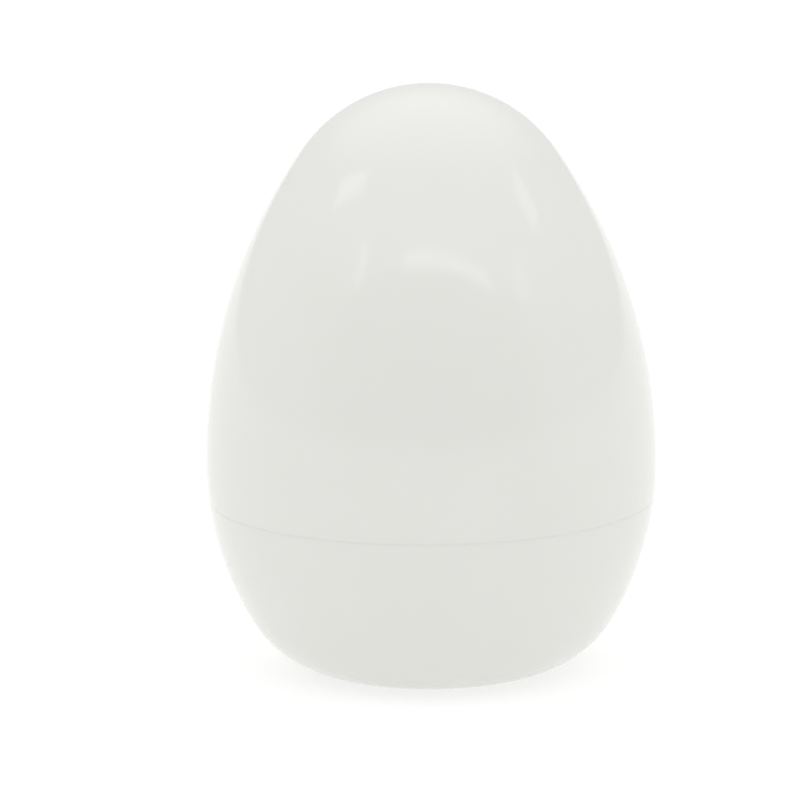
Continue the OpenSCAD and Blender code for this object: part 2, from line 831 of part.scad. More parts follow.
module hammer_head() color("peru") {
  difference() {
    rod(head_place, bell_z, hammer_radius, 2.4);
    bar(hammer_place, head_place, 1.1 + 2 * fixed_gap, arm_z - fixed_gap, 0.6 + 2 * fixed_gap);
  }
  rod(head_place, bell_z, 0.4, 2.4);
}

base_shell();
base_screws();
pointer_mark();
lower_plate();
plate_pillars();
pillar_screws();
upper_plate();
centre_bush();
bell();
bell_washer();
bell_nut();
mainspring();
spring_post();
lever_post();
lever_clip();
hammer_spring();
hammer_spring_post();
dial_shell();
minute_marks();
main_shaft_rod();
shaft_clip();
ratchet_wheel();
main_wheel();
click();
click_pin();
click_spring();
ring_wheel();
snail_cam();
second_shaft();
second_pinion();
second_wheel();
third_shaft();
third_pinion();
third_wheel();
escape_shaft();
escape_pinion();
escape_wheel();
pallet_shaft();
pallet_anchor();
pallet_pins();
balance_bar();
star_shaft();
star_pinion();
star_wheel();
hammer_shaft();
hammer_tail();
hammer_arm();
hammer_head();
stop_lever();
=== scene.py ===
"""Egg-shaped wind-up kitchen timer: the finished looks around the fixed CAD frame."""

import json
import math

import bmesh
import bpy
from bpy.props import FloatProperty, FloatVectorProperty, IntProperty, PointerProperty, StringProperty
from mathutils import Matrix, Vector


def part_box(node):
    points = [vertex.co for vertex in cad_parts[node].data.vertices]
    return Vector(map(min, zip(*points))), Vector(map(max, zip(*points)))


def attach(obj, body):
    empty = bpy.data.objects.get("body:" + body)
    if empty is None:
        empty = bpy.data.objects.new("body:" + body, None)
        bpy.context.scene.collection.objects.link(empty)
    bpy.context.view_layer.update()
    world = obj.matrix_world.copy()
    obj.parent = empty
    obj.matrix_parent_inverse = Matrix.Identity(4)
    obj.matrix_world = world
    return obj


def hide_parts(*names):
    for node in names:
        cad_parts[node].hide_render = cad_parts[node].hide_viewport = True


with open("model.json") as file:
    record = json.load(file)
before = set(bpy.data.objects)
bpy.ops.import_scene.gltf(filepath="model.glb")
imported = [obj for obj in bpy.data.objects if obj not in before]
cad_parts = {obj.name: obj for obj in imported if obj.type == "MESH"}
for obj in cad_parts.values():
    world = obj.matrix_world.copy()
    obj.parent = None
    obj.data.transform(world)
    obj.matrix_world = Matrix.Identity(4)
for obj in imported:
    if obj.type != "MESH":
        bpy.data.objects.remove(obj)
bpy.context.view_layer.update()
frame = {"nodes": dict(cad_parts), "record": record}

bl_info = {
    "name": "Egg Kitchen Timer",
    "version": (1, 0, 0),
    "blender": (4, 5, 0),
    "location": "View3D > Sidebar > Egg Timer",
    "description": "Builds the shells, print, finishes and stage of an egg-shaped wind-up timer",
    "category": "Object",
}

MM = 0.001
DIAL_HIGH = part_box("dial_shell")[1]
BASE_LOW, BASE_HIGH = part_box("base_shell")
PLATE_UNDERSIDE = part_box("lower_plate")[0].z
BUSH_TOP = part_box("centre_bush")[1].z
SHAFT_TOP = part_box("main_shaft_rod")[1].z
MARKS_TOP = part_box("minute_marks")[1].z

# Distance under which two points are one
WELD = 1e-7
# Distance under which two points of a flat number are one
INK_WELD = 1e-6
# Allowance for rounding where two heights are compared
ROUNDING = 1e-9
# Turn under which an arc is left out, in radians
LEAST_TURN = 1e-6
# Angle from which an edge stays sharp
SHARP = math.radians(35)
# How far a cutting tool reaches past the surface it opens
REACH = 1 * MM

# Azimuths, from the middle of the opening, between which the tent's sides fade into its rear
REAR_FROM, REAR_TO = math.radians(95), math.radians(145)
# Heights, as sines of the elevation, between which the walls fade into the roof
ROOF_FROM, ROOF_TO = 0.3, 0.9
# Exponent of the opening's outline: 2 is an ellipse, and more is squarer
ARCH = 3.0
# Shares of the opening's size between which its edge fades
EDGE_FROM, EDGE_TO = 0.9, 1.15

# Softboxes: name, azimuth from the front, elevation, width, height and roll in degrees, share of the glow
SOFTBOXES = (
    ("softbox_left", -80, 42, 18, 6, 36, 1.1),
    ("softbox_right", 90, 34.5, 10, 9, 0, 0.9),
    ("softbox_long", 13, 38, 50, 3.5, -10, 1.3),
    ("softbox_shoulder_left", -49, 33, 6, 9, 0, 0.9),
    ("softbox_shoulder_right", 62, 27, 7, 8, 0, 0.7),
)


# Sizes and colours a user would change

class EggShape(bpy.types.PropertyGroup):
    """Outline of the egg: four arcs that run into each other"""

    height: FloatProperty(
        name="Height", description="Height of the whole egg",
        default=DIAL_HIGH.z - BASE_LOW.z, unit="LENGTH")
    radius: FloatProperty(
        name="Radius", description="Largest radius of the egg",
        default=DIAL_HIGH.x, unit="LENGTH")
    widest: FloatProperty(
        name="Widest level", description="Height of the widest level above the table",
        default=23.4 * MM, unit="LENGTH")
    cap: FloatProperty(
        name="Cap radius", description="Radius of the rounded top", default=17.1 * MM, unit="LENGTH")
    belly: FloatProperty(
        name="Belly radius", description="Radius of the side curve below the widest level",
        default=34.5 * MM, unit="LENGTH")
    foot: FloatProperty(
        name="Foot radius", description="Radius of the flat foot", default=9.6 * MM, unit="LENGTH")
    wall: FloatProperty(
        name="Wall", description="Thickness of the shells", default=1.8 * MM, unit="LENGTH")
    seam: FloatProperty(
        name="Seam", description="Height of the parting line", default=19.2 * MM, unit="LENGTH")
    edge: FloatProperty(
        name="Edge rounding", description="Rounding of the two edges at the parting line",
        default=0.018 * MM, unit="LENGTH")
    turns: IntProperty(
        name="Segments", description="Segments around the egg", default=240, min=48, max=360)
    dial_step: FloatProperty(
        name="Dial spacing", description="Spacing of the rings on the outside of the dial",
        default=0.55 * MM, unit="LENGTH")
    base_step: FloatProperty(
        name="Base spacing", description="Spacing of the rings on the outside of the base",
        default=0.45 * MM, unit="LENGTH")
    edge_steps: IntProperty(name="Edge steps", description="Steps around a rounded edge", default=4)


class HubDetails(bpy.types.PropertyGroup):
    """Hub inside the dial, which sits on the main shaft"""

    radius: FloatProperty(
        name="Hub radius", description="Outer radius of the hub", default=3.4 * MM, unit="LENGTH")
    clearance: FloatProperty(
        name="Hub clearance", description="Gap between the bell's bush and the hub",
        default=1.2 * MM, unit="LENGTH")
    rounding: FloatProperty(
        name="Hub rounding", description="Rounding of the hub's lower edge",
        default=0.3 * MM, unit="LENGTH")
    shaft: FloatProperty(
        name="Shaft radius", description="Radius of the main shaft", default=1.5 * MM, unit="LENGTH")
    fit: FloatProperty(
        name="Socket clearance", description="Clearance between the shaft and its socket",
        default=0.03 * MM, unit="LENGTH")
    flat: FloatProperty(
        name="Socket flat", description="Distance from the axis to the shaft's flat",
        default=0.9 * MM, unit="LENGTH")
    end_gap: FloatProperty(
        name="Socket end gap", description="Gap above the end of the shaft",
        default=0.4 * MM, unit="LENGTH")
    ribs: IntProperty(name="Ribs", description="Number of ribs around the hub", default=4)
    rib_thickness: FloatProperty(
        name="Rib thickness", description="Thickness of a rib", default=1.2 * MM, unit="LENGTH")


class BaseDetails(bpy.types.PropertyGroup):
    """Underside of the base"""

    screw_circle: FloatProperty(
        name="Screw circle", description="Radius of the circle of the screws",
        default=6 * MM, unit="LENGTH")
    screws: IntProperty(name="Screws", description="Number of screws under the foot", default=3)
    screw_turn: FloatProperty(
        name="First screw", description="Azimuth of the first screw",
        default=math.radians(30), subtype="ANGLE")
    head_room: FloatProperty(
        name="Head recess", description="Radius of the recess around a screw head",
        default=2.1 * MM, unit="LENGTH")
    head_depth: FloatProperty(
        name="Head depth", description="Depth of the recess", default=2.2 * MM, unit="LENGTH")
    boss: FloatProperty(
        name="Boss radius", description="Outer radius of a screw boss",
        default=2.9 * MM, unit="LENGTH")
    boss_top: FloatProperty(
        name="Boss top", description="Height at which the bosses meet the movement",
        default=PLATE_UNDERSIDE, unit="LENGTH")
    shank_room: FloatProperty(
        name="Shank hole", description="Radius of the hole for a screw's shank",
        default=1.15 * MM, unit="LENGTH")
    slots: IntProperty(name="Slots", description="Number of sound slots", default=7, min=2)
    slot_spread: FloatProperty(
        name="Slot spread", description="Angle between the first and the last slot",
        default=math.radians(150), subtype="ANGLE")
    slot_inner: FloatProperty(
        name="Slot start", description="Inner radius of the ring of slots",
        default=11.4 * MM, unit="LENGTH")
    slot_outer: FloatProperty(
        name="Slot end", description="Outer radius of the ring of slots",
        default=15 * MM, unit="LENGTH")
    slot_width: FloatProperty(
        name="Slot width", description="Width of a slot", default=1.2 * MM, unit="LENGTH")
    slot_reach: FloatProperty(
        name="Slot reach", description="Height up to which the slots cut",
        default=7 * MM, unit="LENGTH")
    lip_wall: FloatProperty(
        name="Lip thickness", description="Thickness of the lip inside the dial",
        default=1.0 * MM, unit="LENGTH")
    lip_room: FloatProperty(
        name="Lip clearance", description="Clearance between the lip and the dial",
        default=0.35 * MM, unit="LENGTH")
    lip_depth: FloatProperty(
        name="Lip depth", description="Depth of the lip below the parting line",
        default=3 * MM, unit="LENGTH")
    lip_edge: FloatProperty(
        name="Lip edge", description="Chamfer on the lip's upper edge",
        default=0.2 * MM, unit="LENGTH")


class PrintDetails(bpy.types.PropertyGroup):
    """Printed numbers above the minute marks"""

    pointer_angle: FloatProperty(
        name="Pointer", description="Azimuth of zero on the scale",
        default=math.radians(15), subtype="ANGLE")
    minute_angle: FloatProperty(
        name="Minute", description="Turn of the dial for a minute",
        default=math.radians(5), subtype="ANGLE")
    step: IntProperty(name="Step", description="Minutes between two numbers", default=5)
    last: IntProperty(name="Last", description="Largest number on the scale", default=30)
    size: FloatProperty(
        name="Number height", description="Height of the numbers", default=3.4 * MM, unit="LENGTH")
    room: FloatProperty(
        name="Room", description="Room between the long marks and the numbers",
        default=0.9 * MM, unit="LENGTH")
    thickness: FloatProperty(
        name="Ink thickness", description="Thickness of the printed ink",
        default=0.04 * MM, unit="LENGTH")
    sink: FloatProperty(
        name="Ink sink", description="How far the ink's back lies inside the shell",
        default=0.01 * MM, unit="LENGTH")
    digit_share: FloatProperty(
        name="Digit share", description="Height of a digit as a share of the font's size",
        default=0.72, min=0.5, max=1.0)
    cells: IntProperty(
        name="Cells", description="Cells in a number's height, so that it can follow the egg", default=6)
    curve_steps: IntProperty(
        name="Curve steps", description="Steps in each curve of a digit", default=6)


class Finishes(bpy.types.PropertyGroup):
    """Colours of the finishes, as sRGB hex values"""

    shell: StringProperty(name="Shell", description="White moulded ABS", default="#DDDED9")
    ink: StringProperty(name="Ink", description="Printed scale", default="#55565A")
    zinc: StringProperty(name="Zinc", description="Zinc-plated screws and nut", default="#C9CCCE")
    steel: StringProperty(name="Steel", description="Turned and blanked steel", default="#B4B3B2")
    spring: StringProperty(name="Spring steel", description="Tempered strip", default="#566173")
    nickel: StringProperty(name="Nickel", description="Plated bell", default="#D3CFC6")
    brass: StringProperty(name="Brass", description="Plates and wheels", default="#D9B566")


class StageSettings(bpy.types.PropertyGroup):
    """Floor, light and camera"""

    elevation: FloatProperty(
        name="Elevation", description="Camera angle above level",
        default=math.radians(12.2), subtype="ANGLE")
    roll: FloatProperty(
        name="Roll", description="Camera roll", default=math.radians(-0.6), subtype="ANGLE")
    distance: FloatProperty(
        name="Distance", description="Distance from the camera to the egg", default=1.30, unit="LENGTH")
    middle: FloatProperty(
        name="Middle", description="Height of the egg's middle, where the camera is turned to",
        default=32 * MM, unit="LENGTH")
    aim: FloatVectorProperty(
        name="Aim", description="Sideways and upward shift of the camera from the egg's middle",
        size=2, default=(-3.36 * MM, -2.0 * MM), unit="LENGTH")
    lens: FloatProperty(
        name="Lens", description="Focal length in millimetres", default=534.5, unit="CAMERA")
    floor: FloatProperty(
        name="Floor", description="Distance from the middle of the floor to its side",
        default=6.0, unit="LENGTH")
    floor_gap: FloatProperty(
        name="Floor gap", description="Gap between the foot and the floor",
        default=0.05 * MM, unit="LENGTH")
    floor_glow: FloatProperty(
        name="Floor glow", description="Brightness of the light behind the floor's sheet", default=0.62)
    wall: FloatProperty(
        name="Tent wall", description="Brightness of the tent's side walls", default=0.87)
    rear: FloatProperty(
        name="Tent rear", description="Brightness of the tent's rear wall", default=0.78)
    roof: FloatProperty(name="Tent roof", description="Brightness of the tent's roof", default=1.34)
    opening: FloatProperty(
        name="Tent opening", description="Brightness of the opening toward the camera", default=0.70)
    opening_width: FloatProperty(
        name="Opening width", description="Angle from the middle of the opening to its side",
        default=math.radians(62), subtype="ANGLE")
    opening_height: FloatProperty(
        name="Opening height", description="Angle from level to the top of the opening",
        default=math.radians(36.5), subtype="ANGLE")
    glow: FloatProperty(name="Softbox glow", description="Brightness of the softboxes", default=1.0)
    away: FloatProperty(
        name="Softbox distance", description="Distance from the egg to the softboxes",
        default=0.6, unit="LENGTH")
    light_height: FloatProperty(
        name="Softbox aim", description="Height of the point that the softboxes face",
        default=45 * MM, unit="LENGTH")


GROUPS = {
    "egg_shape": EggShape,
    "egg_hub": HubDetails,
    "egg_base": BaseDetails,
    "egg_print": PrintDetails,
    "egg_finish": Finishes,
    "egg_stage": StageSettings,
}


# Outline arithmetic

def egg_arcs(shape, inset=0.0):
    """Centre, radius, start and end angle of the outline's arcs, from the top down, set in by a distance."""
    cap_z = shape.height - shape.cap
    rise = cap_z - shape.widest
    side = (shape.radius ** 2 + rise ** 2 - shape.cap ** 2) / (2 * (shape.radius - shape.cap))
    side_x = shape.radius - side
    belly_x = shape.radius - shape.belly
    reach = shape.foot - belly_x
    corner = (shape.belly ** 2 - reach ** 2 - shape.widest ** 2) / (2 * (shape.belly - shape.widest))
    side_angle = math.atan2(rise, -side_x)
    belly_angle = math.atan2(shape.widest - corner, reach)
    return [
        ((0.0, cap_z), shape.cap - inset, math.pi / 2, side_angle),
        ((side_x, shape.widest), side - inset, side_angle, 0.0),
        ((belly_x, shape.widest), shape.belly - inset, 0.0, -belly_angle),
        ((shape.foot, corner), corner - inset, -belly_angle, -math.pi / 2),
    ]


def radius_at(shape, z, inset=0.0):
    """Radius of the outline at a height."""
    for (x, centre), radius, start, end in egg_arcs(shape, inset):
        if z >= centre + radius * math.sin(end) - ROUNDING:
            return x + math.sqrt(max(0.0, radius ** 2 - (z - centre) ** 2))
    return shape.foot


# Modelling helpers

def point(mesh, x, z):
    """First point of a section."""
    return bmesh.ops.create_vert(mesh, co=(x, 0, z))["vert"][0]


def line_to(mesh, vert, x, z):
    """Straight edge of a section from the last point."""
    made = bmesh.ops.extrude_vert_indiv(mesh, verts=[vert])["verts"][0]
    made.co = (x, 0, z)
    return made


def arc_by(mesh, vert, centre, turn, steps):
    """Arc of a section from the last point, anticlockwise for a positive turn seen from the front."""
    made = bmesh.ops.spin(
        mesh, geom=[vert], cent=(centre[0], 0, centre[1]), axis=(0, -1, 0),
        angle=turn, steps=steps, use_duplicate=False)
    return [item for item in made["geom_last"] if isinstance(item, bmesh.types.BMVert)][0]


def angle_at(z, centre, radius):
    """Angle on an arc at a height, or its nearest pole."""
    return math.asin(max(-1.0, min(1.0, (z - centre[1]) / radius)))


def outline_between(mesh, vert, shape, inset, begin, finish, spacing):
    """Carries a section along the egg's outline from one height to another, down or up."""
    arcs = egg_arcs(shape, inset)
    down = begin > finish
    for centre, radius, start, end in arcs if down else reversed(arcs):
        upper = min(start, angle_at(max(begin, finish), centre, radius))
        lower = max(end, angle_at(min(begin, finish), centre, radius))
        if upper - lower < LEAST_TURN:
            continue
        turn = lower - upper if down else upper - lower
        steps = max(2, round(abs(turn) * radius / spacing))
        vert = arc_by(mesh, vert, centre, turn, steps)
    return vert


def revolve(mesh, segments):
    """Turns the section in the mesh into a closed body around the egg's axis."""
    geometry = mesh.verts[:] + mesh.edges[:]
    bmesh.ops.spin(
        mesh, geom=geometry, cent=(0, 0, 0), axis=(0, 0, 1), angle=2 * math.pi,
        steps=segments, use_merge=True)
    bmesh.ops.remove_doubles(mesh, verts=mesh.verts[:], dist=WELD)
    bmesh.ops.recalc_face_normals(mesh, faces=mesh.faces[:])


def new_object(name, mesh):
    """Object at the origin, smooth except at its sharp edges."""
    data = bpy.data.meshes.new(name)
    mesh.normal_update()
    for face in mesh.faces:
        face.smooth = True
    for edge in mesh.edges:
        edge.smooth = len(edge.link_faces) == 2 and edge.calc_face_angle(0.0) < SHARP
    mesh.to_mesh(data)
    mesh.free()
    made = bpy.data.objects.new(name, data)
    bpy.context.scene.collection.objects.link(made)
    return made


def cut(body, tool, operation):
    """Joins or cuts one finished mesh with another, and leaves only the result."""
    change = body.modifiers.new("cut", "BOOLEAN")
    change.operation = operation
    change.solver = "EXACT"
    change.object = tool
    bpy.context.view_layer.update()
    shaped = bpy.data.meshes.new_from_object(body.evaluated_get(bpy.context.evaluated_depsgraph_get()))
    old = body.data
    body.modifiers.clear()
    body.data = shaped
    shaped.name = body.name
    bpy.data.meshes.remove(old)
    bpy.data.objects.remove(tool, do_unlink=True)
    return body


def box_at(mesh, low, high, turn):
    """Box between two corners, turned about the egg's axis."""
    size = Vector(high) - Vector(low)
    middle = (Vector(high) + Vector(low)) / 2
    place = Matrix.Rotation(turn, 4, "Z") @ Matrix.Translation(middle) @ Matrix.Diagonal((*size, 1))
    bmesh.ops.create_cube(mesh, size=1, matrix=place)


def trim_flat(mesh, distance):
    """Cuts a flat side at a distance from the axis, and closes it."""
    made = bmesh.ops.bisect_plane(
        mesh, geom=mesh.verts[:] + mesh.edges[:] + mesh.faces[:], dist=WELD,
        plane_co=(distance, 0, 0), plane_no=(1, 0, 0), clear_outer=True)
    edges = [item for item in made["geom_cut"] if isinstance(item, bmesh.types.BMEdge)]
    bmesh.ops.holes_fill(mesh, edges=edges)
    bmesh.ops.recalc_face_normals(mesh, faces=mesh.faces[:])


def tidied(body):
    """Finished object again, with doubles merged and edges marked after the cuts."""
    mesh = bmesh.new()
    mesh.from_mesh(body.data)
    bmesh.ops.remove_doubles(mesh, verts=mesh.verts[:], dist=WELD)
    name, old = body.name, body.data
    bpy.data.objects.remove(body, do_unlink=True)
    bpy.data.meshes.remove(old)
    return new_object(name, mesh)


def post_at(mesh, radius, low, high, circle, turn, segments=48):
    """Round post that stands on a circle around the egg's axis."""
    place = Matrix.Rotation(turn, 4, "Z") @ Matrix.Translation((circle, 0, (low + high) / 2))
    bmesh.ops.create_cone(
        mesh, cap_ends=True, segments=segments, radius1=radius, radius2=radius,
        depth=high - low, matrix=place)


# Materials

def linear(code):
    """sRGB hex value to a linear colour."""
    parts = [int(code[i:i + 2], 16) / 255 for i in (1, 3, 5)]
    return tuple(c / 12.92 if c <= 0.04045 else ((c + 0.055) / 1.055) ** 2.4 for c in parts) + (1.0,)


def mixed(code, other, share):
    """Linear colour part of the way from one sRGB hex value to another."""
    return tuple(a + (b - a) * share for a, b in zip(linear(code), linear(other)))


def node(tree, kind, settings=None, links=None):
    """Adds a node with its settings, and feeds its inputs from sockets or values."""
    made = tree.nodes.new(kind)
    for key, value in (settings or {}).items():
        setattr(made, key, value)
    for key, value in (links or {}).items():
        if isinstance(value, bpy.types.NodeSocket):
            tree.links.new(value, made.inputs[key])
        else:
            made.inputs[key].default_value = value
    return made


def start_material(name):
    """Material with a shader, an output and the piece's own coordinates."""
    made = bpy.data.materials.new(name)
    made.use_nodes = True
    tree = made.node_tree
    tree.nodes.clear()
    shader = node(tree, "ShaderNodeBsdfPrincipled")
    node(tree, "ShaderNodeOutputMaterial", None, {"Surface": shader.outputs[0]})
    place = node(tree, "ShaderNodeTexCoord").outputs["Object"]
    return made, tree, shader, place


def vary(tree, place, size, low, high, detail=3.0):
    """Noise of a real grain size in metres, as a value between two limits."""
    noise = node(tree, "ShaderNodeTexNoise", None, {"Vector": place, "Scale": 1 / size, "Detail": detail})
    return node(tree, "ShaderNodeMapRange", None, {
        "Value": noise.outputs["Fac"], "From Min": 0.3, "From Max": 0.7,
        "To Min": low, "To Max": high}).outputs["Result"]


def tint(tree, amount, first, second):
    """Colour between two, by an amount."""
    return node(tree, "ShaderNodeMix", {"data_type": "RGBA"}, {
        "Factor": amount, 6: first, 7: second}).outputs[2]


def calculate(tree, operation, *values):
    """Result of a sum on sockets and numbers."""
    return node(tree, "ShaderNodeMath", {"operation": operation}, dict(enumerate(values))).outputs[0]


def blend_by(tree, value, start, end, low, high):
    """Smooth change from one value to another."""
    return node(tree, "ShaderNodeMapRange", {"interpolation_type": "SMOOTHSTEP"}, {
        "Value": value, "From Min": start, "From Max": end,
        "To Min": low, "To Max": high}).outputs["Result"]


def relief(tree, shader, height, strength, depth):
    """Fine relief of a real depth, too shallow to model."""
    bump = node(tree, "ShaderNodeBump", None, {"Strength": strength, "Distance": depth, "Height": height})
    tree.links.new(bump.outputs["Normal"], shader.inputs["Normal"])


def moulded_abs(finish):
    """Glossy white ABS from a polished mould: a deep even white, with a soft sheen that wavers slightly."""
    made, tree, shader, place = start_material("moulded_white_abs")
    cloud = vary(tree, place, 14 * MM, 0.0, 1.0)
    tree.links.new(
        tint(tree, cloud, linear(finish.shell), mixed(finish.shell, "#E6E7E3", 0.15)),
        shader.inputs["Base Color"])
    # Polish of the mould wears unevenly over a few millimetres
    tree.links.new(vary(tree, place, 5 * MM, 0.09, 0.13), shader.inputs["Roughness"])
    shader.inputs["IOR"].default_value = 1.53
    shader.inputs["Subsurface Weight"].default_value = 0.12
    shader.inputs["Subsurface Radius"].default_value = (1.0, 0.9, 0.8)
    shader.inputs["Subsurface Scale"].default_value = 0.9 * MM
    # Shrinkage of the moulding leaves faint waves 7 mm long and 2 hundredths deep
    relief(tree, shader, vary(tree, place, 7 * MM, 0.0, 1.0, 1.0), 0.10, 0.02 * MM)
    return made


def printed_ink(finish):
    """Pad-printed grey ink: matt, a little thinner here and there."""
    made, tree, shader, place = start_material("pad_printed_ink")
    patch = vary(tree, place, 0.35 * MM, 0.0, 1.0)
    tree.links.new(
        tint(tree, patch, linear(finish.ink), mixed(finish.ink, "#8B8C90", 0.35)),
        shader.inputs["Base Color"])
    tree.links.new(vary(tree, place, 0.2 * MM, 0.45, 0.6), shader.inputs["Roughness"])
    shader.inputs["IOR"].default_value = 1.48
    return made


def metal(name, code, other, grain, rough, stretch, depth):
    """Metal with fine marks of a real spacing, drawn along or around the piece by a stretched noise."""
    made, tree, shader, place = start_material(name)
    drawn = node(tree, "ShaderNodeMapping", None, {"Vector": place, "Scale": stretch}).outputs["Vector"]
    marks = vary(tree, drawn, grain, 0.0, 1.0, 4.0)
    tree.links.new(tint(tree, marks, linear(code), linear(other)), shader.inputs["Base Color"])
    tree.links.new(vary(tree, drawn, grain * 0.6, rough[0], rough[1], 4.0), shader.inputs["Roughness"])
    shader.inputs["Metallic"].default_value = 1.0
    relief(tree, shader, marks, 0.25, depth)
    return made


def metals(finish):
    """The movement's finishes by material slot."""
    return {
        # Dull bluish plating over barrel-tumbled screws
        "zinc_steel": metal("zinc_plated_steel", finish.zinc, "#BCC3C7", 0.4 * MM, (0.26, 0.34),
                            (1, 1, 1), 0.01 * MM),
        # Lathe marks run around the shafts, so they are spaced along Z
        "turned_steel": metal("turned_steel", finish.steel, "#9C9A98", 0.15 * MM, (0.18, 0.3),
                              (0.2, 0.2, 3), 0.008 * MM),
        # Blanked from cold-rolled sheet: faint rolling marks along X
        "pressed_steel": metal("blanked_steel", finish.steel, "#A19F9C", 0.2 * MM, (0.28, 0.42),
                               (0.25, 2, 1), 0.008 * MM),
        # Tempered blue-grey strip
        "spring_steel": metal("tempered_spring_steel", finish.spring, "#3E4757", 0.5 * MM, (0.22, 0.34),
                              (1, 1, 0.3), 0.006 * MM),
        # Bright nickel plating over a spun bell
        "bell_steel": metal("nickel_plated_steel", finish.nickel, "#CBC7BE", 3 * MM, (0.10, 0.14),
                            (1, 1, 1), 0.002 * MM),
        # Rolled sheet with marks along X
        "brass_plate": metal("rolled_brass", finish.brass, "#C19C4F", 0.25 * MM, (0.24, 0.38),
                             (0.2, 2, 1), 0.008 * MM),
        # Punched and tumbled wheels
        "brass_wheel": metal("punched_brass", finish.brass, "#CBA558", 0.3 * MM, (0.2, 0.32),
                             (1, 1, 1), 0.008 * MM),
        "turned_brass": metal("turned_brass", finish.brass, "#B98F45", 0.15 * MM, (0.16, 0.28),
                              (0.2, 0.2, 3), 0.008 * MM),
    }


def paint(target, material):
    """Gives a piece its one material."""
    target.data.materials.clear()
    target.data.materials.append(material)


def shared_material(name, make, finish):
    """Material that several pieces share, made once."""
    return bpy.data.materials.get(name) or make(finish)


# Operators, one for each piece or group of like pieces

class EGGTIMER_OT_dial(bpy.types.Operator):
    """Spin the upper shell, its rim and its hub"""

    bl_idname = "eggtimer.dial"
    bl_label = "Dial Shell"

    def execute(self, context):
        shape = context.scene.egg_shape
        hub = context.scene.egg_hub
        low = BUSH_TOP + hub.clearance
        top = SHAFT_TOP + hub.end_gap
        made = self.shell(shape, hub, low)
        cut(made, self.ribs(shape, hub, top), "UNION")
        cut(made, self.socket(hub, low, top), "DIFFERENCE")
        made = tidied(made)
        paint(made, shared_material("moulded_white_abs", moulded_abs, context.scene.egg_finish))
        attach(made, "dial")
        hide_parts("dial_shell")
        return {"FINISHED"}

    def shell(self, shape, hub, low):
        """Section from the top down the outside, around the rim, up the inside and down the hub"""
        mesh = bmesh.new()
        rim = shape.seam + shape.edge
        dome_centre, dome_radius = egg_arcs(shape, shape.wall)[0][:2]
        meet = dome_centre[1] + math.sqrt(dome_radius ** 2 - hub.radius ** 2)
        vert = point(mesh, 0, shape.height)
        vert = outline_between(mesh, vert, shape, 0.0, shape.height, rim, shape.dial_step)
        vert = arc_by(mesh, vert, (vert.co.x - shape.edge, rim), -math.pi / 2, shape.edge_steps)
        vert = line_to(mesh, vert, radius_at(shape, shape.seam, shape.wall), shape.seam)
        vert = outline_between(mesh, vert, shape, shape.wall, shape.seam, meet, 2 * shape.dial_step)
        vert = line_to(mesh, vert, hub.radius, low + hub.rounding)
        corner = (hub.radius - hub.rounding, low + hub.rounding)
        vert = arc_by(mesh, vert, corner, -math.pi / 2, shape.edge_steps)
        line_to(mesh, vert, 0, low)
        revolve(mesh, shape.turns)
        return new_object("dial_shell_smooth", mesh)

    def ribs(self, shape, hub, low):
        """Ribs between the hub and the dome, trimmed to end inside the wall"""
        mesh = bmesh.new()
        for i in range(hub.ribs):
            box_at(
                mesh, (hub.radius / 2, -hub.rib_thickness / 2, low),
                (shape.radius, hub.rib_thickness / 2, shape.height), 2 * math.pi * i / hub.ribs)
        plates = new_object("ribs", mesh)
        dome = bmesh.new()
        inset = shape.wall / 2
        vert = point(dome, 0, shape.height - inset)
        vert = outline_between(
            dome, vert, shape, inset, shape.height - inset, shape.widest, 3 * shape.dial_step)
        line_to(dome, vert, 0, shape.widest)
        revolve(dome, shape.turns // 2)
        return cut(plates, new_object("dome", dome), "INTERSECT")

    def socket(self, hub, low, top):
        """Socket with one flat side"""
        mesh = bmesh.new()
        post_at(mesh, hub.shaft + hub.fit, low - REACH, top, 0, 0)
        trim_flat(mesh, hub.flat + hub.fit)
        return new_object("socket", mesh)


